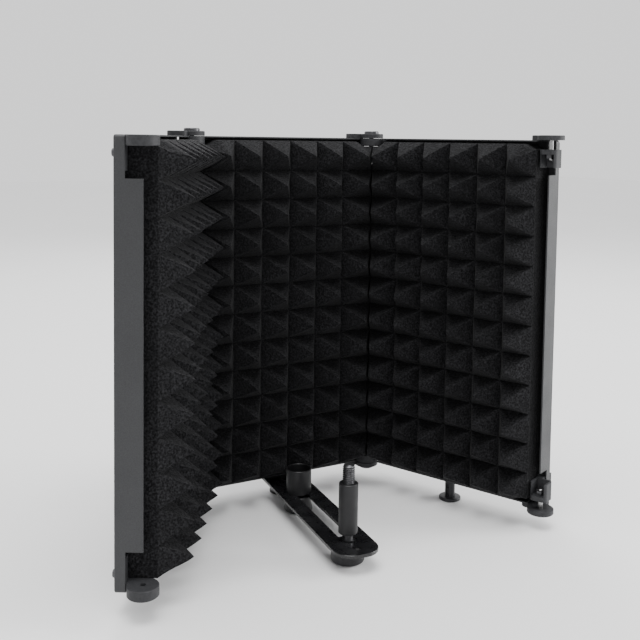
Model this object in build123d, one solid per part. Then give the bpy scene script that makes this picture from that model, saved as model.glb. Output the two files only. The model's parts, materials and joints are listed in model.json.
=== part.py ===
from build123d import *
import math
import os

# Folding microphone isolation shield: three foam-lined steel panels hinged in a C,
# with a slotted bar that carries a stand sleeve and a microphone post.
# Millimetres, +Z up. X runs along the middle panel and the foam faces -Y.
# Every panel is first drawn lying along +X in its own frame: its lug axis at x = 0,
# its fork axis at x = PITCH, its front lip on y = 0 and its lower edge on z = 0.

# ---- driving dimensions: panels ----
PITCH = 180.0          # hinge axis to hinge axis
HEIGHT = 310.0         # steel frame, bottom to top
DEPTH = 20.0           # steel frame, lip to back
SHEET = 1.2            # frame sheet thickness
SIDE_GAP = 0.6         # frame side face to hinge axis
BORDER = 9.0           # width of the frame's return around the grille
CORNER_R = 2.5         # frame corners, seen from the front
BEND_R = 1.1           # outside of the bend at the back
FOLD_LEFT = 59.0       # how far the left panel is folded in from flat, degrees
FOLD_RIGHT = 67.0      # how far the right panel is folded in from flat, degrees

# ---- grille ----
GRILLE_T = 1.0
VENT_D = 8.0
VENT_PITCH = 15.0
VENT_COLUMNS = 10
VENT_ROWS = 21

# ---- foam ----
COLUMNS = 6
ROWS = 12
COLUMN_PITCH = 27.0
ROW_PITCH = 25.0
FOAM_TOTAL = 50.0
PYRAMID = 24.2         # depth of the grooves between pyramids
RELIEF_W = 11.6        # foam cut away around a knuckle, from the hinge axis
RELIEF_H = 9.0         # foam cut away around a knuckle, from the frame's end

# ---- hinges ----
KNUCKLE_R = 11.0       # lug and outer fork plate
LUG_T = 7.2
PLATE_T = 4.0
INNER_R = 7.5          # inner fork plate and its skirt
SKIRT_H = 11.0
SKIRT_WALL = 1.8
NOTCH_H = 29.0         # cut-out in the side flange, from the frame's end
NOTCH_D = 12.3         # cut-out in the side flange, from the lip
NOTCH_W = 12.6         # cut-out in the top and bottom flanges, from the hinge axis
AXIAL_GAP = 0.3        # between a lug and the plates around it
SCREW_R = 2.1
BORE_R = 2.15
HEAD_R = 6.8
HEAD_H = 2.6
NUT_FLATS = 7.0
NUT_H = 3.2
THREAD_PROUD = 1.5     # screw or pin end below its nut
CROSS_LONG = 3.4       # half length of the cross recess
CROSS_WIDE = 0.7       # half width of the cross recess
CROSS_FLOOR = 1.2      # recess floor above the head's seat

# ---- screws that hold the lugs and forks ----
BRACKET_SCREW_X = 5.5  # from the hinge axis
BRACKET_SCREW_Z = 12.0 # from the frame's end
BRACKET_SCREW_R = 1.45
BRACKET_HOLE_R = 1.6
BRACKET_PILOT_R = 1.5
BRACKET_HEAD_R = 2.9
BRACKET_HEAD_H = 1.9
BRACKET_SCREW_TIP = 14.2  # y of the screw's end

# ---- feet ----
FOOT_Y = 5.0
FOOT_DROP = 17.0       # floor below the frame's lower edge
FOOT_STEM_R = 4.5
FOOT_PAD_R = 9.8
FOOT_PAD_T = 3.0
FOOT_STUD_R = 2.5
FOOT_STUD_TOP = SHEET + 3.7
FOOT_NUT_FLATS = 8.0
FOOT_NUT_H = 3.6
STUD_PLAY = 0.08       # around the foot's stud in the frame and bar
STEM_GAP = 0.2         # between a foot's stem and what it turns against

# ---- slotted bar, measured from its swivel along the bar ----
BAR_LEAN = 6.0         # degrees off square to the middle panel
BAR_W = 36.5
BAR_T = 2.5
BAR_REAR = 13.5
BAR_FRONT = 177.0
BAR_CORNER = 15.0      # front corners
BAR_REAR_CORNER = 5.0
SLOT_W = 10.5
SLOT_START = 27.0
SLOT_END = 156.0
PEG_HOLE_AT = 167.0
PEG_HOLE_R = 2.1
SLEEVE_AT = 45.5
POST_AT = 149.0

# ---- stand sleeve ----
SLEEVE_R = 11.0
SLEEVE_BORE_R = 9.75
SLEEVE_H = 21.0
SLEEVE_FLOOR = 3.0     # seat of the bolt's head, above the bar
SLEEVE_POCKET = 2.6    # depth of the pocket that sinks the bolt's head
SLEEVE_POCKET_R = 7.3
SLEEVE_EDGE = 0.3      # chamfer around the mouth
BELL_TOP_R = 11.0
BELL_FOOT_R = 12.6
BELL_SHOULDER = 4.0    # straight part at the top
BELL_EDGE = 0.8        # chamfer around the top
BELL_RIM = 2.4         # rounding around the foot
BELL_LIFT = 0.3        # foot above the floor
SLEEVE_BOLT_R = 4.0
SLEEVE_BOLT_HEAD_R = 7.0
SLEEVE_BOLT_HEAD_H = 2.4
SLEEVE_BOLT_EDGE = 0.6  # chamfer around the head
SLEEVE_BOLT_BELOW = 5.5 # bolt below the bar
DRIVE_FLATS = 5.0      # hexagon recess in the bolt's head
DRIVE_FLOOR = 1.0      # recess floor above the head's seat
STAND_THREAD_R = 7.94  # 5/8 inch microphone stand thread
STAND_THREAD_L = 7.0

# ---- microphone post ----
POST_R = 7.5
POST_H = 39.5
POST_EDGE = 0.5        # chamfer at both ends
NECK_R = 4.15
NECK_H = 4.9
NECK_IN_POST = 6.0
NECK_BELOW = 7.0       # neck below the bar
WASHER_R = 6.0
WASHER_T = 0.6
COLLAR_R = 5.0
COLLAR_T = 0.5
POST_TAIL_R = 3.95     # microphone stud's tail inside the post
MIC_STUD_R = 4.76      # 3/8 inch microphone thread
MIC_STUD_L = 14.0
MIC_STUD_EDGE = 0.8    # chamfer at the tip
TAIL_L = 7.5
TAIL_BORE = 8.0
KNOB_R = 13.0
KNOB_H = 13.4
KNOB_TOP_EDGE = 1.0    # chamfer
KNOB_FOOT_EDGE = 1.6   # rounding
KNOB_BORE = 7.4
THREAD_PLAY = 0.05     # around a stud in its nut, knob or post
NUT_GAP = 0.2          # between the bar and the nut or knob under it

BAR_GAP = 0.2          # between the bar and the frame above it
BAR_TOP = -BAR_GAP
BAR_UNDER = BAR_TOP - BAR_T
FOAM_WIDTH = COLUMNS * COLUMN_PITCH
FOAM_HEIGHT = ROWS * ROW_PITCH
FOAM_BACK = DEPTH - SHEET - GRILLE_T
FOAM_VALLEY = FOAM_BACK - FOAM_TOTAL + PYRAMID
FOAM_TIP = FOAM_BACK - FOAM_TOTAL
LUG_TOP = HEIGHT - AXIAL_GAP / 2
FORK_INNER_TOP = LUG_TOP - LUG_T - AXIAL_GAP
WEB_X = (SIDE_GAP + SHEET, 8.8)  # web of a lug or fork, from the hinge axis
WEB_PLAY = 0.1                   # clearance of the slot around a fork web
WEB_SLOT_X = (PITCH - WEB_X[1] - WEB_PLAY, PITCH - WEB_X[0])
LUG_ROOT_H = 24.0                # lug root, down from the frame's end
TAB_REACH = 6.5                  # rear tab of a fork behind the frame
ARM_REACH = 8.0                  # fork's outer plate past its round end
ARM_Y = (1.5, DEPTH - 2)


def block(x, y, z):
    """A box from three (low, high) pairs."""
    low = (min(x), min(y), min(z))
    size = [abs(pair[1] - pair[0]) for pair in (x, y, z)]
    return Pos(*low) * Box(*size, align=(Align.MIN, Align.MIN, Align.MIN))


def rod(radius, z_low, z_high, x=0.0, y=0.0):
    """An upright cylinder between two heights."""
    return Pos(x, y, z_low) * Cylinder(radius, z_high - z_low, align=(Align.CENTER, Align.CENTER, Align.MIN))


def hex_rod(flats, z_low, z_high, x=0.0, y=0.0):
    """An upright hexagonal prism, given across its flats."""
    outline = RegularPolygon(flats / 2, 6, major_radius=False)
    return Pos(x, y, z_low) * extrude(outline, z_high - z_low)


def cross_recess(half_long, half_wide, floor):
    """Cutter for a cross-shaped drive recess, open upwards."""
    tall = (floor, floor + 3)
    long_arm = block((-half_long, half_long), (-half_wide, half_wide), tall)
    return long_arm + block((-half_wide, half_wide), (-half_long, half_long), tall)


def flipped(shape):
    """The same piece at the panel's other end."""
    return mirror(shape, about=Plane.XY.offset(HEIGHT / 2))


def both_ends(shape):
    """The piece at the top and its twin at the bottom."""
    return [shape, flipped(shape)]


# ---- panel pieces, in the panel's own frame ----

def web_slots():
    """Holes that let the fork webs through the frame and grille."""
    heights = (FORK_INNER_TOP - PLATE_T - SKIRT_H - WEB_PLAY, FORK_INNER_TOP)
    return both_ends(block(WEB_SLOT_X, (NOTCH_D - 1, DEPTH + 1), heights))


def bracket_screw_spots():
    """Where the lugs and forks are screwed on, as (x, z)."""
    across = (BRACKET_SCREW_X, PITCH - BRACKET_SCREW_X)
    return [(x, z) for x in across for z in (BRACKET_SCREW_Z, HEIGHT - BRACKET_SCREW_Z)]


def frame():
    """Pressed steel frame: four flanges, a return at the back and notched ends."""
    x_low, x_high = SIDE_GAP, PITCH - SIDE_GAP
    pan = block((x_low, x_high), (0, DEPTH), (0, HEIGHT))
    pan = fillet(pan.edges().filter_by(Axis.Y), CORNER_R)
    pan = fillet(pan.faces().sort_by(Axis.Y)[-1].edges(), BEND_R)
    pan -= block((x_low + SHEET, x_high - SHEET), (-1, DEPTH - SHEET), (SHEET, HEIGHT - SHEET))
    pan -= block((x_low + BORDER, x_high - BORDER), (0, DEPTH + 1), (BORDER, HEIGHT - BORDER))
    for side in ((-1, NOTCH_W), (PITCH - NOTCH_W, PITCH + 1)):
        for end in ((-1, NOTCH_H), (HEIGHT - NOTCH_H, HEIGHT + 1)):
            pan -= block(side, (-1, NOTCH_D), end)
    for slot in web_slots():
        pan -= slot
    for end in ((-1, SHEET + 1), (HEIGHT - SHEET - 1, HEIGHT + 1)):
        pan -= block(WEB_SLOT_X, (NOTCH_D - 1, FOAM_BACK), end)
    pan -= rod(FOOT_STUD_R + STUD_PLAY, -1, SHEET + 1, PITCH / 2, FOOT_Y)
    for x, z in bracket_screw_spots():
        pan -= Pos(x, DEPTH, z) * Rot(90, 0, 0) * Cylinder(BRACKET_HOLE_R, 4 * SHEET)
    return pan


def grille():
    """Flat vented plate that closes the back behind the foam."""
    inset = SIDE_GAP + SHEET
    plate = block((inset, PITCH - inset), (FOAM_BACK, FOAM_BACK + GRILLE_T), (SHEET, HEIGHT - SHEET))
    row_step = VENT_PITCH * math.sqrt(3) / 2
    spots = [
        (VENT_PITCH * (column + 0.5 * (row % 2)), row_step * row)
        for row in range(VENT_ROWS)
        for column in range(VENT_COLUMNS + 1 - row % 2)
    ]
    width = VENT_PITCH * VENT_COLUMNS
    tall = row_step * (VENT_ROWS - 1)
    holes = Sketch() + [Pos(x - width / 2, z - tall / 2) * Circle(VENT_D / 2) for x, z in spots]
    face_plane = Plane(origin=(PITCH / 2, FOAM_BACK, HEIGHT / 2), x_dir=(1, 0, 0), z_dir=(0, -1, 0))
    plate -= extrude(face_plane * holes, 2 * GRILLE_T, both=True)
    for slot in web_slots():
        plate -= slot
    for x, z in bracket_screw_spots():
        plate -= Pos(x, FOAM_BACK, z) * Rot(90, 0, 0) * Cylinder(BRACKET_HOLE_R, 4 * GRILLE_T)
    return plate


def groove(pitch, length):
    """V-shaped cutter along +Z that leaves a pyramid's slope on each side."""
    profile = Polygon((0, FOAM_VALLEY), (-pitch / 2, FOAM_TIP), (pitch / 2, FOAM_TIP), align=None)
    return extrude(profile, length)


def foam():
    """Pyramid foam block: a slab with crossed V grooves."""
    x_low = (PITCH - FOAM_WIDTH) / 2
    z_low = (HEIGHT - FOAM_HEIGHT) / 2
    slab = block((x_low, x_low + FOAM_WIDTH), (FOAM_TIP, FOAM_BACK), (z_low, z_low + FOAM_HEIGHT))
    uprights = groove(COLUMN_PITCH, FOAM_HEIGHT + 2)
    for column in range(COLUMNS + 1):
        slab -= Pos(x_low + column * COLUMN_PITCH, 0, z_low - 1) * uprights
    levels = Rot(0, 90, 0) * groove(ROW_PITCH, FOAM_WIDTH + 2)
    for row in range(ROWS + 1):
        slab -= Pos(x_low - 1, 0, z_low + row * ROW_PITCH) * levels
    for side in ((0, RELIEF_W), (PITCH - RELIEF_W, PITCH)):
        for end in ((0, RELIEF_H), (HEIGHT - RELIEF_H, HEIGHT)):
            slab -= block(side, (-KNUCKLE_R - 1, FOAM_BACK + 1), end)
    return slab


def lug_top():
    """Solid knuckle with a root that sits in the frame's corner."""
    body = rod(KNUCKLE_R, LUG_TOP - LUG_T, LUG_TOP)
    body = chamfer(body.edges().filter_by(GeomType.CIRCLE), 0.5)
    body += block(WEB_X, (2, FOAM_BACK), (LUG_TOP - LUG_T, HEIGHT - SHEET))
    body += block(WEB_X, (NOTCH_D, FOAM_BACK), (HEIGHT - LUG_ROOT_H, HEIGHT - SHEET))
    body -= rod(BORE_R, LUG_TOP - LUG_T - 1, LUG_TOP + 1)
    pilot = Rot(90, 0, 0) * Cylinder(BRACKET_PILOT_R, 9)
    body -= Pos(BRACKET_SCREW_X, FOAM_BACK, HEIGHT - BRACKET_SCREW_Z) * pilot
    return body


def fork_top():
    """Fork bracket: outer plate, web in the frame's corner, inner plate with a skirt, rear tab."""
    plate_low = HEIGHT + AXIAL_GAP / 2
    inner_low = FORK_INNER_TOP - PLATE_T
    skirt_low = inner_low - SKIRT_H
    outer = rod(KNUCKLE_R, plate_low, plate_low + PLATE_T)
    arm = block((-KNUCKLE_R - ARM_REACH, 0), ARM_Y, (HEIGHT, plate_low + PLATE_T))
    arm = fillet(arm.edges().filter_by(Axis.Z).sort_by(Axis.X)[:2], 4)
    outer += arm
    outer = chamfer(outer.faces().sort_by(Axis.Z)[-1].edges(), 0.5)
    box = block((-INNER_R, INNER_R), (-INNER_R, INNER_R), (skirt_low, FORK_INNER_TOP))
    box = fillet(box.edges().filter_by(Axis.Z), 4)
    inside = INNER_R - SKIRT_WALL
    box -= block((-inside, inside), (-INNER_R - 1, inside), (skirt_low - 1, inner_low))
    web_x = (-WEB_X[1], -WEB_X[0])
    web = block(web_x, (NOTCH_D, FOAM_BACK), (skirt_low, HEIGHT))
    bridge = block((-INNER_R, -WEB_X[0]), (INNER_R - SKIRT_WALL, NOTCH_D), (skirt_low, FORK_INNER_TOP))
    tab = block(web_x, (FOAM_BACK - 1, DEPTH + TAB_REACH), (skirt_low, FORK_INNER_TOP - 0.1))
    tab = chamfer(tab.faces().sort_by(Axis.Y)[-1].edges(), 1.5)
    bracket = outer + box + web + bridge + tab
    bracket -= rod(BORE_R, inner_low - 1, plate_low + PLATE_T + 1)
    pilot = Rot(90, 0, 0) * Cylinder(BRACKET_PILOT_R, 2 * TAB_REACH + 4)
    bracket -= Pos(-BRACKET_SCREW_X, DEPTH, HEIGHT - BRACKET_SCREW_Z) * pilot
    return Pos(PITCH, 0, 0) * bracket


def bracket_screws():
    """One pan-head screw for each lug and fork, driven in from the back."""
    screws = []
    for x, z in bracket_screw_spots():
        seat = DEPTH if x < PITCH / 2 else DEPTH + TAB_REACH
        head = rod(BRACKET_HEAD_R, 0, BRACKET_HEAD_H)
        head = fillet(head.faces().sort_by(Axis.Z)[-1].edges(), 0.9)
        head -= cross_recess(1.8, 0.4, 1.1)
        screw = head + rod(BRACKET_SCREW_R, BRACKET_SCREW_TIP - seat, 0.2)
        screws.append(Pos(x, seat, z) * Rot(-90, 0, 0) * screw)
    return screws


def foot(z_top):
    """Screw foot: ribbed stem with windows, round pad and a stud into the frame."""
    pad_top = -FOOT_DROP + FOOT_PAD_T
    pad = rod(FOOT_PAD_R, -FOOT_DROP, pad_top)
    pad = fillet(pad.edges().filter_by(GeomType.CIRCLE), 1.0)
    stem = rod(FOOT_STEM_R, pad_top - 0.5, z_top)
    mid = (pad_top + z_top) / 2
    for low, high in ((pad_top + 1.3, mid - 0.6), (mid + 0.6, z_top - 1.5)):
        stem -= block((-1.7, 1.7), (-FOOT_STEM_R - 1, -FOOT_STEM_R + 1.6), (low, high))
        stem -= block((-1.7, 1.7), (FOOT_STEM_R - 1.6, FOOT_STEM_R + 1), (low, high))
    stud = rod(FOOT_STUD_R, z_top - 0.5, FOOT_STUD_TOP)
    return Pos(PITCH / 2, FOOT_Y, 0) * (pad + stem + stud)


def foot_nut():
    """Weld nut inside the frame that takes the foot's stud."""
    nut = hex_rod(FOOT_NUT_FLATS, SHEET, SHEET + FOOT_NUT_H, PITCH / 2, FOOT_Y)
    return nut - rod(FOOT_STUD_R + THREAD_PLAY, 0, FOOT_STUD_TOP + 1, PITCH / 2, FOOT_Y)


def hinge_screw():
    """Pan-head cross-recess hinge screw for the top knuckle, at a fork axis."""
    seat = HEIGHT + AXIAL_GAP / 2 + PLATE_T
    head = rod(HEAD_R, seat, seat + HEAD_H)
    head = fillet(head.faces().sort_by(Axis.Z)[-1].edges(), 1.3)
    head -= cross_recess(CROSS_LONG, CROSS_WIDE, seat + CROSS_FLOOR)
    shank = rod(SCREW_R, FORK_INNER_TOP - PLATE_T - NUT_H - THREAD_PROUD, seat + 0.3)
    return Pos(PITCH, 0, 0) * (head + shank)


def hinge_nut():
    """Hexagon nut under the inner fork plate."""
    top = FORK_INNER_TOP - PLATE_T
    nut = hex_rod(NUT_FLATS, top - NUT_H, top) - rod(BORE_R, top - NUT_H - 1, top + 1)
    return Pos(PITCH, 0, 0) * nut


def spare_pin():
    """Headless pin waiting in the free fork."""
    low = FORK_INNER_TOP - PLATE_T - NUT_H - THREAD_PROUD
    pin = rod(SCREW_R, low, HEIGHT + AXIAL_GAP / 2 + PLATE_T - 0.4)
    return Pos(PITCH, 0, 0) * chamfer(pin.edges().filter_by(GeomType.CIRCLE), 0.4)


# ---- bar pieces, in the bar's own frame: swivel at the origin, bar along -Y ----

def slot_bar():
    """Flat steel bar with one long slot, a swivel hole and a peg hole."""
    low, high = BAR_UNDER, BAR_TOP
    bar = block((-BAR_W / 2, BAR_W / 2), (-BAR_FRONT, BAR_REAR), (low, high))
    uprights = bar.edges().filter_by(Axis.Z).sort_by(Axis.Y)
    bar = fillet(uprights[:2], BAR_CORNER)
    bar = fillet(bar.edges().filter_by(Axis.Z).sort_by(Axis.Y)[-2:], BAR_REAR_CORNER)
    bar = chamfer(bar.edges().group_by(Axis.Z)[-1], 0.3)
    half = SLOT_W / 2
    bar -= block((-half, half), (-SLOT_END + half, -SLOT_START - half), (low - 1, high + 1))
    bar -= rod(half, low - 1, high + 1, 0, -SLOT_END + half)
    bar -= rod(half, low - 1, high + 1, 0, -SLOT_START - half)
    bar -= rod(FOOT_STUD_R + STUD_PLAY, low - 1, high + 1)
    bar -= rod(PEG_HOLE_R, low - 1, high + 1, 0, -PEG_HOLE_AT)
    return bar


def sleeve_tube():
    """Open-topped stand sleeve that stands on the bar over its slot."""
    tube = rod(SLEEVE_R, BAR_TOP, BAR_TOP + SLEEVE_H)
    seat = BAR_TOP + SLEEVE_FLOOR
    tube -= rod(SLEEVE_BORE_R, seat + SLEEVE_POCKET, BAR_TOP + SLEEVE_H + 1)
    tube -= rod(SLEEVE_POCKET_R, seat, seat + SLEEVE_POCKET + 1)
    tube = chamfer(tube.edges().group_by(Axis.Z)[-1], SLEEVE_EDGE)
    return tube - rod(SLEEVE_BOLT_R + 0.1, BAR_TOP - 1, seat + 1)


def sleeve_bolt():
    """Bolt that clamps the sleeve, its head sunk in the pocket of the sleeve's floor."""
    seat = BAR_TOP + SLEEVE_FLOOR
    head = rod(SLEEVE_BOLT_HEAD_R, seat, seat + SLEEVE_BOLT_HEAD_H)
    head = chamfer(head.faces().sort_by(Axis.Z)[-1].edges(), SLEEVE_BOLT_EDGE)
    head -= hex_rod(DRIVE_FLATS, seat + DRIVE_FLOOR, seat + SLEEVE_BOLT_HEAD_H + 1)
    return head + rod(SLEEVE_BOLT_R, BAR_UNDER - SLEEVE_BOLT_BELOW, seat + 0.2)


def sleeve_nut():
    """Bell-shaped nut under the bar, with a stand thread in its foot."""
    top = BAR_UNDER - NUT_GAP
    bottom = -FOOT_DROP + BELL_LIFT
    shoulder = (BELL_TOP_R, top - BELL_SHOULDER)
    sag = BELL_RIM * (1 - math.sqrt(0.5))
    rim = (
        (BELL_FOOT_R, bottom + BELL_RIM),
        (BELL_FOOT_R - sag, bottom + sag),
        (BELL_FOOT_R - BELL_RIM, bottom),
    )
    profile = make_face([
        Line((0, top), (BELL_TOP_R - BELL_EDGE, top)),
        Line((BELL_TOP_R - BELL_EDGE, top), (BELL_TOP_R, top - BELL_EDGE)),
        Line((BELL_TOP_R, top - BELL_EDGE), shoulder),
        Spline(shoulder, rim[0], tangents=[(0, -1), (0.2, -1)]),
        ThreePointArc(*rim),
        Line(rim[2], (0, bottom)),
        Line((0, bottom), (0, top)),
    ])
    bell = revolve(Plane.XZ * profile, Axis.Z)
    bell -= rod(SLEEVE_BOLT_R + THREAD_PLAY, bottom - 1, top + 1)
    return bell - rod(STAND_THREAD_R, bottom - 1, bottom + STAND_THREAD_L)


def post_washer():
    """Washer between the bar and the post's neck."""
    return rod(WASHER_R, BAR_TOP, BAR_TOP + WASHER_T) - rod(NECK_R + THREAD_PLAY, BAR_TOP - 1, BAR_TOP + 2)


def post_neck():
    """Stepped stud: collar on the washer, threaded end through the slot into the knob."""
    collar = rod(COLLAR_R, BAR_TOP + WASHER_T, BAR_TOP + WASHER_T + COLLAR_T)
    shank = rod(NECK_R, BAR_UNDER - NECK_BELOW, BAR_TOP + WASHER_T + NECK_H + NECK_IN_POST)
    return collar + shank


def post_body():
    """Turned post, bored below for the neck and above for the microphone stud."""
    low = BAR_TOP + WASHER_T + NECK_H
    body = rod(POST_R, low, low + POST_H)
    body = chamfer(body.edges().filter_by(GeomType.CIRCLE), POST_EDGE)
    body -= rod(NECK_R + THREAD_PLAY, low - 1, low + NECK_IN_POST)
    return body - rod(POST_TAIL_R + THREAD_PLAY, low + POST_H - TAIL_BORE, low + POST_H + 1)


def post_stud():
    """Microphone stud with a narrower tail that sits in the post."""
    low = BAR_TOP + WASHER_T + NECK_H + POST_H
    stud = rod(MIC_STUD_R, low, low + MIC_STUD_L)
    stud = chamfer(stud.faces().sort_by(Axis.Z)[-1].edges(), MIC_STUD_EDGE)
    return stud + rod(POST_TAIL_R, low - TAIL_L, low + 0.3)


def post_knob():
    """Round clamping knob under the bar."""
    top = BAR_UNDER - NUT_GAP
    knob = rod(KNOB_R, top - KNOB_H, top)
    knob = chamfer(knob.faces().sort_by(Axis.Z)[-1].edges(), KNOB_TOP_EDGE)
    knob = fillet(knob.faces().sort_by(Axis.Z)[0].edges(), KNOB_FOOT_EDGE)
    return knob - rod(NECK_R + THREAD_PLAY, top - KNOB_BORE, top + 1)


# ---- assembly ----

PANELS = {
    "left": Pos(-PITCH / 2, 0, 0) * Rot(0, 0, FOLD_LEFT) * Pos(-PITCH, 0, 0),
    "middle": Pos(-PITCH / 2, 0, 0),
    "right": Pos(PITCH / 2, 0, 0) * Rot(0, 0, -FOLD_RIGHT),
}
BAR = Pos(0, FOOT_Y, 0) * Rot(0, 0, -BAR_LEAN)


def panel_nodes(name, place):
    """Every piece of one panel, placed."""
    top_of_stem = (BAR_UNDER if name == "middle" else 0.0) - STEM_GAP
    lug, fork = lug_top(), fork_top()
    pieces = {
        "frame": [frame()],
        "grille": [grille()],
        "foam": [foam()],
        "lug_top": [lug],
        "lug_bottom": [flipped(lug)],
        "fork_top": [fork],
        "fork_bottom": [flipped(fork)],
        "bracket_screws": bracket_screws(),
        "foot": [foot(top_of_stem)],
        "foot_nut": [foot_nut()],
    }
    return {f"{name}_{piece}": [place * solid for solid in solids] for piece, solids in pieces.items()}


def assembly():
    """All nodes, as lists of solids in the working frame."""
    nodes = {}
    for name, place in PANELS.items():
        nodes.update(panel_nodes(name, place))
    for hinge, place in (("left_hinge", PANELS["left"]), ("right_hinge", PANELS["middle"])):
        nodes[f"{hinge}_screws"] = [place * s for s in both_ends(hinge_screw())]
        nodes[f"{hinge}_nuts"] = [place * s for s in both_ends(hinge_nut())]
    nodes["spare_fork_pins"] = [PANELS["right"] * s for s in both_ends(spare_pin())]
    nodes["spare_fork_nuts"] = [PANELS["right"] * s for s in both_ends(hinge_nut())]
    nodes["slot_bar"] = [BAR * slot_bar()]
    for maker in (sleeve_tube, sleeve_bolt, sleeve_nut):
        nodes[maker.__name__] = [BAR * Pos(0, -SLEEVE_AT, 0) * maker()]
    for maker in (post_washer, post_neck, post_body, post_stud, post_knob):
        nodes[maker.__name__] = [BAR * Pos(0, -POST_AT, 0) * maker()]
    return nodes


def footprint_origin(nodes):
    """Middle of the whole object's footprint, at the height of its lowest point."""
    boxes = [solid.bounding_box() for solids in nodes.values() for solid in solids]
    x_middle = (min(box.min.X for box in boxes) + max(box.max.X for box in boxes)) / 2
    y_middle = (min(box.min.Y for box in boxes) + max(box.max.Y for box in boxes)) / 2
    return Vector(x_middle, y_middle, min(box.min.Z for box in boxes))


NODES = assembly()
ORIGIN = footprint_origin(NODES)

if __name__ == "__main__":
    os.makedirs("parts", exist_ok=True)
    shift = Pos(-ORIGIN.X, -ORIGIN.Y, -ORIGIN.Z)
    for name, solids in NODES.items():
        moved = [shift * solid for solid in solids]
        export_step(moved[0] if len(moved) == 1 else Compound(children=moved), f"parts/{name}.step")
    print("origin", tuple(round(v, 4) for v in ORIGIN), "nodes", len(NODES))
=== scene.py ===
import json
import math

import bpy
import numpy as np
from mathutils import Matrix, Vector


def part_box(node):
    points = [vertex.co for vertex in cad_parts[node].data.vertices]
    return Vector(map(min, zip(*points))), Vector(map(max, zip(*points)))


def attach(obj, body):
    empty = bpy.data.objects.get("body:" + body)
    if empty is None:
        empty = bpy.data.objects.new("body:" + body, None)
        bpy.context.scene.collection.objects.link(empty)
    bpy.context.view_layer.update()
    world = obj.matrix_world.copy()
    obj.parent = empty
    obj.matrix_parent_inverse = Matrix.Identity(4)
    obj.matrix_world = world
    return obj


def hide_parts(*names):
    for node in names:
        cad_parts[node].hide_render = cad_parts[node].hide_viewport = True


# Looks for the folding microphone isolation shield. Metres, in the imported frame.
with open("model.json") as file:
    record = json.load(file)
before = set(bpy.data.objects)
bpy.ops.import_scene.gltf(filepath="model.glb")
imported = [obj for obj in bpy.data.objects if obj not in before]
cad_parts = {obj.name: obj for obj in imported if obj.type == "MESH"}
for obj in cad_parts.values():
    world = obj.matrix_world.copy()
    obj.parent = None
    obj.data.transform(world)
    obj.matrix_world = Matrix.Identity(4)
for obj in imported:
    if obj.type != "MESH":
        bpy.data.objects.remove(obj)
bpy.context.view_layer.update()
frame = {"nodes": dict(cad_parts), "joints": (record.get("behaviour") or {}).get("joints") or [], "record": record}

MM = 0.001

# ---- foam, in a panel's own frame: lug axis at x = 0, lip at y = 0, foam towards -Y ----
COLUMNS = 6
ROWS = 12
PYRAMID = 24.2 * MM        # groove depth
CELL_STEPS = 12            # mesh steps across one pyramid
TIP_ROUND = 0.022          # share of a pyramid lost to its blunt tip
RIDGE_POWER = 30           # higher is a sharper ridge
RIDGE_ANGLE = 24           # degrees between faces that still shade as one surface
NODE_SHIFT = 0.5 * MM      # how far a tip or valley crossing strays from its place
SKIN_ROUGH = 0.08 * MM     # small unevenness of the cut surface
SKIN_FADE = 6              # how fast that unevenness grows out of the valleys
SHORTEST_TIP = 0.96        # lowest pyramid against a full one
WALL_STEPS = 6             # mesh steps from the valleys back to the grille
TOP_RAISE = 1.8 * MM       # the soft block stands this much taller than its CAD solid
KNUCKLE_DROP = 7.55 * MM   # foam's edge in front of a knuckle, from the frame's end
DIP_NEAR = 13 * MM         # the edge is lowest this near a hinge axis
DIP_FAR = 22 * MM          # and straight beyond this
FOLD_CLEAR = 0.25 * MM     # foam to foam at the tightest fold, each side
SEAM_SHIFT = 1.5 * MM      # the right-hand seam sits this far off the hinge's bisector
LEDGE = 0.25 * MM          # thickness of the swollen edge in front of a bracket
SEAM_FILL = 1.9 * MM       # middle block's bulge behind its right-hand seam
SEAM_DEPTH = 0.9 * MM      # how far behind the edge that bulge sits
SEAM_FROM = 23 * MM        # the bulge keeps this far from the frame's ends, below the fork
BRACKET_ZONE = 24.5 * MM   # height at each end where the brackets stand behind the edge
FLANK_EASE = 6 * MM        # height over which the ledge fades into a sloping side

# ---- threads ----
MIC_PITCH = 25.4 / 16 * MM
MIC_EDGE = 0.8 * MM
THREAD_DEPTH = 0.65        # share of the pitch
THREAD_SLOPE = 1.25        # steepness of a flank; more leaves a wider flat root
THREAD_CREST = 0.12        # more leaves a wider flat crest
THREAD_ROUND_STEPS = 56
THREAD_STEPS_PER_TURN = 14

# ---- studio ----
FLOOR_SIZE = 12
FLOOR_TONES = ((0.78, 0.78, 0.78), (0.81, 0.81, 0.81))
SKY_COLOUR = (0.95, 0.95, 0.955, 1)
SKY_POWER = 1.3
AIM_AT = Vector((0, 0, 0.15))
LIGHTS = (                 # name, place, edge length, watts
    ("overhead", (-0.3, -0.4, 1.9), 1.1, 26),
    ("side", (2.0, -0.8, 0.9), 1.0, 52),
    ("rim", (0.5, 1.4, 1.3), 1.0, 12),
)
CEILING_POWER = 0.75       # soft light from straight above, even over the whole floor
CEILING_SPREAD = 60        # degrees

# ---- surfaces ----
NOISE_SPREAD = (0.3, 0.7)  # where nearly all fractal noise lies
COAT_CLOUD = (-0.06, 0.08)  # change of roughness over a coated piece
METAL_CLOUD = (-0.05, 0.1)  # and over a turned one

# ---- camera ----
CAMERA_AT = Vector((-0.3619, -0.6559, 0.3250))
CAMERA_YAW = 28.99         # degrees to the right of +Y
CAMERA_PITCH = -3.81
CAMERA_ROLL = 0.75
CAMERA_LENS = 51.14
CAMERA_SHIFT_Y = -0.187
CAMERA_NEAR = 0.01

rng = np.random.default_rng(7)


# ---- materials ----

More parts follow.
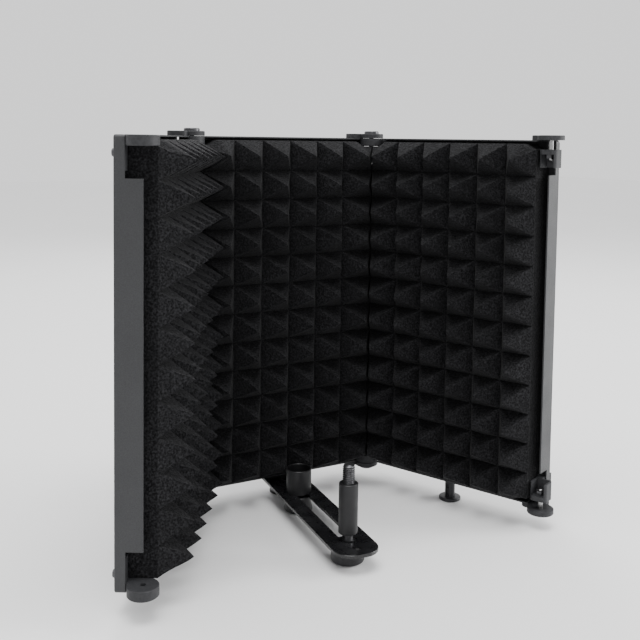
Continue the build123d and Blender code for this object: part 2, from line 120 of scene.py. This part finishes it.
class Nodes:
    """A node tree with short helpers for the procedural materials below."""

    def __init__(self, name):
        self.material = bpy.data.materials.new(name)
        self.material.use_nodes = True
        self.tree = self.material.node_tree
        self.shader = self.tree.nodes["Principled BSDF"]
        self.place = self.tree.nodes.new("ShaderNodeTexCoord").outputs["Object"]

    def new(self, kind, **settings):
        """A node with its settings applied."""
        node = self.tree.nodes.new(kind)
        for key, value in settings.items():
            setattr(node, key, value)
        return node

    def link(self, source, target):
        """Joins an output to an input."""
        self.tree.links.new(source, target)

    def noise(self, scale, detail=3.0, stretch=(1, 1, 1)):
        """Fractal noise, in features per metre."""
        mapping = self.new("ShaderNodeMapping")
        mapping.inputs["Scale"].default_value = stretch
        self.link(self.place, mapping.inputs["Vector"])
        node = self.new("ShaderNodeTexNoise")
        node.inputs["Scale"].default_value = scale
        node.inputs["Detail"].default_value = detail
        self.link(mapping.outputs["Vector"], node.inputs["Vector"])
        return node.outputs["Fac"]

    def cells(self, scale):
        """Open cells, in cells per metre: 0 in the middle of a pore."""
        node = self.new("ShaderNodeTexVoronoi", feature="F1")
        node.inputs["Scale"].default_value = scale
        self.link(self.place, node.inputs["Vector"])
        return node.outputs["Distance"]

    def remap(self, value, low, high, to_low, to_high):
        """Maps low..high onto to_low..to_high, held at both ends."""
        node = self.new("ShaderNodeMapRange")
        for key, number in (("From Min", low), ("From Max", high), ("To Min", to_low), ("To Max", to_high)):
            node.inputs[key].default_value = number
        self.link(value, node.inputs["Value"])
        return node.outputs["Result"]

    def tint(self, value, dark, light):
        """Colour between two tones, 0 being the dark one."""
        node = self.new("ShaderNodeMix", data_type="RGBA")
        node.inputs["A"].default_value = (*dark, 1)
        node.inputs["B"].default_value = (*light, 1)
        self.link(value, node.inputs["Factor"])
        return node.outputs["Result"]

    def multiply(self, a, b):
        """Product of two outputs."""
        node = self.new("ShaderNodeMath", operation="MULTIPLY")
        self.link(a, node.inputs[0])
        self.link(b, node.inputs[1])
        return node.outputs["Value"]

    def bump(self, height, distance, strength=1.0, after=None):
        """Normal of a height, laid over an earlier normal if there is one."""
        node = self.new("ShaderNodeBump")
        node.inputs["Distance"].default_value = distance
        node.inputs["Strength"].default_value = strength
        self.link(height, node.inputs["Height"])
        if after is not None:
            self.link(after, node.inputs["Normal"])
        return node.outputs["Normal"]

    def feed(self, **sockets):
        """Linked sockets get an output, constant ones a number."""
        for key, value in sockets.items():
            socket = self.shader.inputs[key.replace("_", " ")]
            if isinstance(value, bpy.types.NodeSocket):
                self.link(value, socket)
            else:
                socket.default_value = value
        return self.material


def foam_material():
    """Open-cell foam: a matt charcoal skin with fine cells, each pore dented by the bump and darkened in colour
    towards its middle as painted shade in its hollow.
    """
    n = Nodes("acoustic_foam")
    grain = n.remap(n.noise(640, 3), 0.34, 0.7, 0, 1)
    # each pore dents the surface through the bump and darkens the colour towards its middle: painted shade in the
    # pore's hollow
    pore_dents_and_shade = n.remap(n.cells(560), 0.1, 0.62, 0.15, 1)
    patches = n.remap(n.noise(26, 2), 0.3, 0.7, 0.6, 1)
    # the foam's random grain and patches of tone, with the painted pore shade multiplied in
    grain_and_pore_shade = n.multiply(n.multiply(grain, pore_dents_and_shade), patches)
    colour = n.tint(grain_and_pore_shade, (0.0028, 0.0028, 0.0031), (0.024, 0.024, 0.026))
    coarse = n.bump(n.noise(420, 3), 0.6 * MM, 0.4)
    fine = n.bump(pore_dents_and_shade, 0.5 * MM, 0.7, coarse)
    return n.feed(Base_Color=colour, Roughness=0.94, Normal=fine, Sheen_Weight=0.02,
                  Sheen_Roughness=0.6, Specular_IOR_Level=0.06)


def coated(name, dark, light, rough, texture, height, specular=0.5):
    """Paint or moulding with a fine texture and a slowly changing gloss."""
    n = Nodes(name)
    colour = n.tint(n.remap(n.noise(texture / 2, 4), *NOISE_SPREAD, 0, 1), dark, light)
    gloss = n.remap(n.noise(45, 4), *NOISE_SPREAD, *(rough + step for step in COAT_CLOUD))
    fine = n.bump(n.noise(texture, 3), height)
    return n.feed(Base_Color=colour, Roughness=gloss, Normal=fine, Specular_IOR_Level=specular)


def gloss_paint():
    """Gloss black paint with a faint ripple and small dulled patches."""
    n = Nodes("gloss_black_paint")
    colour = n.tint(n.remap(n.noise(70, 5), 0.35, 0.7, 0, 1), (0.004, 0.004, 0.0045), (0.010, 0.010, 0.011))
    gloss = n.remap(n.noise(160, 6), 0.42, 0.72, 0.26, 0.38)
    ripple = n.bump(n.noise(260, 2), 0.05 * MM, 0.5)
    return n.feed(Base_Color=colour, Roughness=gloss, Normal=ripple, Coat_Weight=0.12,
                  Coat_Roughness=0.2, Specular_IOR_Level=0.4)


def turned_metal(name, dark, light, rough, metallic, specular=0.5):
    """Lathe-turned surface: faint rings of tool marks along Z under a clouded finish."""
    n = Nodes(name)
    rings = n.noise(2600, 2, (0.02, 0.02, 1))
    colour = n.tint(n.remap(n.noise(150, 4), *NOISE_SPREAD, 0, 1), dark, light)
    gloss = n.remap(n.noise(120, 4), *NOISE_SPREAD, *(rough + step for step in METAL_CLOUD))
    marks = n.bump(rings, 0.004 * MM, 0.25)
    return n.feed(Base_Color=colour, Roughness=gloss, Normal=marks, Metallic=metallic,
                  Specular_IOR_Level=specular)


def floor_material():
    """Plain pale floor with a barely uneven tone."""
    n = Nodes("studio_floor")
    colour = n.tint(n.noise(3, 2), *FLOOR_TONES)
    return n.feed(Base_Color=colour, Roughness=0.6)


def make_materials():
    """One material for each slot of the record."""
    return {
        "foam": foam_material(),
        "powder_coat": coated(
            "powder_coat", (0.016, 0.0165, 0.018), (0.028, 0.029, 0.031),
            rough=0.48, texture=2600, height=0.08 * MM, specular=0.4),
        "grille_coat": coated(
            "grille_coat", (0.014, 0.014, 0.016), (0.026, 0.026, 0.029),
            rough=0.55, texture=1300, height=0.12 * MM, specular=0.3),
        "bracket": coated(
            "bracket_moulding", (0.018, 0.0185, 0.020), (0.030, 0.0305, 0.033),
            rough=0.55, texture=900, height=0.06 * MM, specular=0.25),
        "foot_plastic": coated(
            "foot_moulding", (0.011, 0.011, 0.013), (0.019, 0.019, 0.021),
            rough=0.42, texture=900, height=0.06 * MM, specular=0.35),
        "knob_plastic": coated(
            "knob_moulding", (0.009, 0.009, 0.010), (0.016, 0.016, 0.018),
            rough=0.42, texture=1000, height=0.08 * MM, specular=0.35),
        "gloss_black": gloss_paint(),
        "satin_black": turned_metal(
            "satin_turned_metal", (0.009, 0.009, 0.010), (0.014, 0.014, 0.015),
            rough=0.36, metallic=0.25, specular=0.35),
        "thread_black": turned_metal(
            "black_oxide", (0.075, 0.075, 0.08), (0.12, 0.12, 0.125), rough=0.26, metallic=0.85),
        "dark_steel": turned_metal(
            "black_zinc_plate", (0.045, 0.045, 0.048), (0.085, 0.085, 0.09), rough=0.30, metallic=0.8),
        "pin_steel": turned_metal(
            "plain_pin_steel", (0.24, 0.24, 0.24), (0.36, 0.36, 0.36), rough=0.28, metallic=1.0),
    }


def paint_cad(materials):
    """Gives every CAD node the material of its slot in the record."""
    for row in frame["record"]["subparts"]:
        node = frame["nodes"][row["node"]]
        node.data.materials.clear()
        node.data.materials.append(materials[row["material_slot"]])


# ---- the panels' places, from the joints ----

def joint(name):
    """The frame's row for a joint."""
    return next(j for j in frame["joints"] if j["name"] == name)


LEFT_AXIS = Vector(joint("left_fold")["pos_m"])
RIGHT_AXIS = Vector(joint("right_fold")["pos_m"])
PITCH = RIGHT_AXIS.x - LEFT_AXIS.x
LEFT_FOLD = -math.radians(joint("left_fold")["range_deg"][0])
RIGHT_FOLD = -math.radians(joint("right_fold")["range_deg"][0])
TIGHTEST_FOLD = LEFT_FOLD + math.radians(joint("left_fold")["range_deg"][1])
FRAME_LOW, FRAME_HIGH = (corner.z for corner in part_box("middle_frame"))
HEIGHT = FRAME_HIGH - FRAME_LOW


def panel_places():
    """Panel frame to row frame, for each panel."""
    left_axis = Matrix.Translation((LEFT_AXIS.x, LEFT_AXIS.y, FRAME_LOW))
    right_axis = Matrix.Translation((RIGHT_AXIS.x, RIGHT_AXIS.y, FRAME_LOW))
    return {
        "left": left_axis @ Matrix.Rotation(LEFT_FOLD, 4, "Z") @ Matrix.Translation((-PITCH, 0, 0)),
        "middle": left_axis,
        "right": right_axis @ Matrix.Rotation(-RIGHT_FOLD, 4, "Z"),
    }


# ---- foam ----

def strayed(lattice, u, v):
    """Bilinear value of a lattice whose points are half a cell apart."""
    gu, gv = 2 * u, 2 * v
    i = np.minimum(gu.astype(int), lattice.shape[0] - 2)
    j = np.minimum(gv.astype(int), lattice.shape[1] - 2)
    fu, fv = gu - i, gv - j
    near = lattice[i, j] * (1 - fu) + lattice[i + 1, j] * fu
    far = lattice[i, j + 1] * (1 - fu) + lattice[i + 1, j + 1] * fu
    return near * (1 - fv) + far * fv


def node_strays():
    """Random strays of tips and valley crossings, none across the block's own outline."""
    field = rng.uniform(-NODE_SHIFT, NODE_SHIFT, (2 * COLUMNS + 1, 2 * ROWS + 1))
    field[[0, -1], :] = 0
    field[:, [0, -1]] = 0
    return field


def smooth_step(t):
    """Eases from 0 to 1 as t goes from 0 to 1."""
    t = np.clip(t, 0, 1)
    return t * t * (3 - 2 * t)


def curved_edge(x, z, v, low, high):
    """Raises the block's top edge and dips both ends smoothly in front of the knuckles."""
    from_axis = np.minimum(x, PITCH - x)
    dip = 1 - smooth_step((from_axis - DIP_NEAR) / (DIP_FAR - DIP_NEAR))
    top_share = np.clip(v - (ROWS - 1), 0, 1)
    bottom_share = np.clip(1 - v, 0, 1)
    top_fall = high.z + TOP_RAISE - (HEIGHT - KNUCKLE_DROP)
    bottom_rise = KNUCKLE_DROP - low.z
    return z + top_share * (TOP_RAISE - dip * top_fall) + bottom_share * dip * bottom_rise


def slope_share(z):
    """0 beside the brackets, where the swollen edge is a ledge, 1 where the side slopes."""
    from_end = np.minimum(z, HEIGHT - z)
    return float(smooth_step((from_end - BRACKET_ZONE) / FLANK_EASE))


def foam_surface(low, high, swells):
    """Grid points of the pyramid face, as arrays over columns and rows."""
    steps_x, steps_z = COLUMNS * CELL_STEPS, ROWS * CELL_STEPS
    across = np.arange(steps_x + 1) / CELL_STEPS
    u, v = np.meshgrid(across, np.arange(steps_z + 1) / CELL_STEPS, indexing="ij")
    a, b = np.abs(2 * (u % 1) - 1), np.abs(2 * (v % 1) - 1)
    # 0 at a tip, 1 along the valleys
    edge = (a ** RIDGE_POWER + b ** RIDGE_POWER) ** (1 / RIDGE_POWER)
    blunt = np.sqrt(edge ** 2 + TIP_ROUND ** 2)
    rise = np.clip(1 + TIP_ROUND ** 2 / 2 - blunt, 0, 1)
    column, row = (high.x - low.x) / COLUMNS, (high.z - low.z) / ROWS
    x = low.x + u * column + strayed(node_strays(), u, v)
    z = low.z + v * row + strayed(node_strays(), u, v)
    lean = strayed(rng.uniform(SHORTEST_TIP, 1.0, (2 * COLUMNS + 1, 2 * ROWS + 1)), u, v)
    valley = low.y + PYRAMID
    rough = rng.normal(0, 1, u.shape) * SKIN_ROUGH * np.minimum(1, SKIN_FADE * rise)
    y = valley - PYRAMID * rise * lean + np.abs(rough)
    x -= swells[0] * np.clip(1 - 2 * u, 0, 1)
    x += swells[1] * np.clip(1 - 2 * (COLUMNS - u), 0, 1)
    return x, y, curved_edge(x, z, v, low, high)


def side_point(p, t, low, high, seam):
    """A point of the block's side, a share t of the way from its ledge to the grille."""
    wall_x = min(max(p.x, low.x), high.x)
    share = slope_share(p.z)
    y = p.y + LEDGE + (high.y - p.y - LEDGE) * t
    if t == 0 and seam and p.x > high.x and min(p.z, HEIGHT - p.z) > SEAM_FROM:
        return Vector((p.x + seam, y + SEAM_DEPTH, p.z))
    if t == 0:
        y += SEAM_DEPTH * (share if p.x != wall_x else 1)
    return Vector((wall_x + (p.x - wall_x) * (1 - t) * share, y, p.z))


def wall_rings(start, low, high, seam):
    """Rings of points from the face's outline back to the grille, ledge first."""
    rings = [[Vector((p.x, p.y + LEDGE, p.z)) for p in start]]
    for step in range(WALL_STEPS + 1):
        rings.append([side_point(p, step / WALL_STEPS, low, high, seam) for p in start])
    return rings


def face_triangles(index):
    """Two triangles a quad, split along the ridges of the pyramids."""
    faces = []
    half = CELL_STEPS / 2
    for i in range(index.shape[0] - 1):
        for j in range(index.shape[1] - 1):
            p, q = index[i, j], index[i + 1, j]
            r, s = index[i + 1, j + 1], index[i, j + 1]
            rising = (i % CELL_STEPS < half) == (j % CELL_STEPS < half)
            if rising:
                faces += [(p, q, r), (p, r, s)]
            else:
                faces += [(p, q, s), (q, r, s)]
    return faces


def outline_of(index):
    """Grid indices once around the block, starting at its lowest corner."""
    return [*index[:, 0], *index[-1, 1:], *index[-2::-1, -1], *index[0, -2:0:-1]]


def foam_mesh(name, low, high, swells, seam):
    """Closed foam block: pyramid face, cut side walls and a flat back."""
    x, y, z = foam_surface(low, high, swells)
    index = np.arange(x.size).reshape(x.shape)
    points = [*zip(x.ravel(), y.ravel(), z.ravel())]
    faces = face_triangles(index)
    ring = outline_of(index)
    for wall in wall_rings([Vector(points[k]) for k in ring], low, high, seam):
        new_ring = list(range(len(points), len(points) + len(ring)))
        points += [tuple(p) for p in wall]
        for k in range(len(ring)):
            after = (k + 1) % len(ring)
            faces.append((ring[after], ring[k], new_ring[k], new_ring[after]))
        ring = new_ring
    faces.append(tuple(ring[::-1]))
    mesh = bpy.data.meshes.new(name)
    mesh.from_pydata([tuple(map(float, p)) for p in points], [], [tuple(map(int, f)) for f in faces])
    mesh.validate()
    mesh.shade_smooth()
    mesh.set_sharp_from_angle(angle=math.radians(RIDGE_ANGLE))
    return mesh


def add_piece(name, mesh, body, material, slot, *nodes):
    """A new visible piece that stands for CAD nodes and rides on their body."""
    piece = bpy.data.objects.new(name, mesh)
    bpy.context.scene.collection.objects.link(piece)
    mesh.materials.append(material)
    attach(piece, body)
    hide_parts(*nodes)
    return piece


def add_foam(materials):
    """One foam block a panel, swollen until it only just clears its neighbour when folded."""
    places = panel_places()
    middle = places["middle"].inverted()
    low, high = (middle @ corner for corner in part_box("middle_foam"))
    side_gap = low.x
    depth = -(low.y + PYRAMID)
    touching = depth / math.tan((math.pi - TIGHTEST_FOLD) / 2) + FOLD_CLEAR
    room = side_gap - touching
    swells = {
        "left": (0, room),
        "middle": (room, room + SEAM_SHIFT),
        "right": (room - SEAM_SHIFT, 0),
    }
    for panel, place in places.items():
        seam = SEAM_FILL if panel == "middle" else 0
        mesh = foam_mesh(f"{panel}_foam_block", low, high, swells[panel], seam)
        mesh.transform(place)
        block = add_piece(f"{panel}_foam_block", mesh, panel, materials["foam"], "foam", f"{panel}_foam")


# ---- threads ----

def threaded_rod(name, centre, radius, low, high, pitch, chamfer):
    """Closed rod with a helical thread and a chamfered upper end."""
    rows = int((high - low) / pitch * THREAD_STEPS_PER_TURN) + 1
    angle, z = np.meshgrid(np.arange(THREAD_ROUND_STEPS) / THREAD_ROUND_STEPS * 2 * math.pi,
                           np.linspace(low, high, rows), indexing="ij")
    phase = (z / pitch - angle / (2 * math.pi)) % 1
    flank = np.abs(2 * phase - 1)
    r = radius - THREAD_DEPTH * pitch * np.clip(THREAD_SLOPE * flank - THREAD_CREST, 0, 1)
    r = np.minimum(r, radius - np.clip(chamfer - (high - z), 0, chamfer))
    points = np.stack([centre.x + r * np.cos(angle), centre.y + r * np.sin(angle), z], -1).reshape(-1, 3)
    index = np.arange(angle.size).reshape(angle.shape)
    faces = []
    for i in range(THREAD_ROUND_STEPS):
        after = (i + 1) % THREAD_ROUND_STEPS
        for k in range(rows - 1):
            faces.append((index[i, k], index[after, k], index[after, k + 1], index[i, k + 1]))
    faces.append(tuple(index[::-1, 0]))
    faces.append(tuple(index[:, -1]))
    mesh = bpy.data.meshes.new(name)
    mesh.from_pydata(points.tolist(), [], [tuple(map(int, f)) for f in faces])
    mesh.validate()
    mesh.shade_smooth()
    return mesh


def add_thread(materials):
    """The microphone stud gets a real thread above the post."""
    low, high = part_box("post_stud")
    centre = (low + high) / 2
    radius = (high.x - low.x) / 2
    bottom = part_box("post_body")[1].z
    mesh = threaded_rod("post_stud_thread", centre, radius, bottom, high.z, MIC_PITCH, MIC_EDGE)
    add_piece("post_stud_thread", mesh, "post", materials["thread_black"], "thread_black", "post_stud")


# ---- stage ----

def add_light(name, at, size, power):
    """A soft square light that faces the object."""
    data = bpy.data.lights.new(name, "AREA")
    data.size = size
    data.energy = power
    lamp = bpy.data.objects.new(name, data)
    bpy.context.scene.collection.objects.link(lamp)
    lamp.location = at
    aim = AIM_AT - lamp.location
    lamp.rotation_euler = aim.to_track_quat("-Z", "Y").to_euler()


def add_stage():
    """Pale floor, pale surroundings and soft lights."""
    mesh = bpy.data.meshes.new("floor")
    half = FLOOR_SIZE / 2
    corners = [(-half, -half, 0), (half, -half, 0), (half, half, 0), (-half, half, 0)]
    mesh.from_pydata(corners, [], [(0, 1, 2, 3)])
    mesh.materials.append(floor_material())
    floor = bpy.data.objects.new("floor", mesh)
    bpy.context.scene.collection.objects.link(floor)
    world = bpy.data.worlds.new("studio")
    world.use_nodes = True
    sky = world.node_tree.nodes["Background"]
    sky.inputs["Color"].default_value = SKY_COLOUR
    sky.inputs["Strength"].default_value = SKY_POWER
    bpy.context.scene.world = world
    for light in LIGHTS:
        add_light(*light)
    sun = bpy.data.lights.new("ceiling", "SUN")
    sun.energy = CEILING_POWER
    sun.angle = math.radians(CEILING_SPREAD)
    bpy.context.scene.collection.objects.link(bpy.data.objects.new("ceiling", sun))


def add_camera():
    """The one camera, left of the panels' middle and about as high as their top edge."""
    data = bpy.data.cameras.new("camera")
    data.lens = CAMERA_LENS
    data.shift_y = CAMERA_SHIFT_Y
    data.clip_start = CAMERA_NEAR
    camera = bpy.data.objects.new("camera", data)
    bpy.context.scene.collection.objects.link(camera)
    turn = Matrix.Rotation(-math.radians(CAMERA_YAW), 4, "Z")
    tilt = Matrix.Rotation(math.radians(90 + CAMERA_PITCH), 4, "X")
    roll = Matrix.Rotation(math.radians(CAMERA_ROLL), 4, "Z")
    camera.matrix_world = Matrix.Translation(CAMERA_AT) @ turn @ tilt @ roll
    bpy.context.scene.camera = camera


materials = make_materials()
paint_cad(materials)
add_foam(materials)
add_thread(materials)
add_stage()
add_camera()
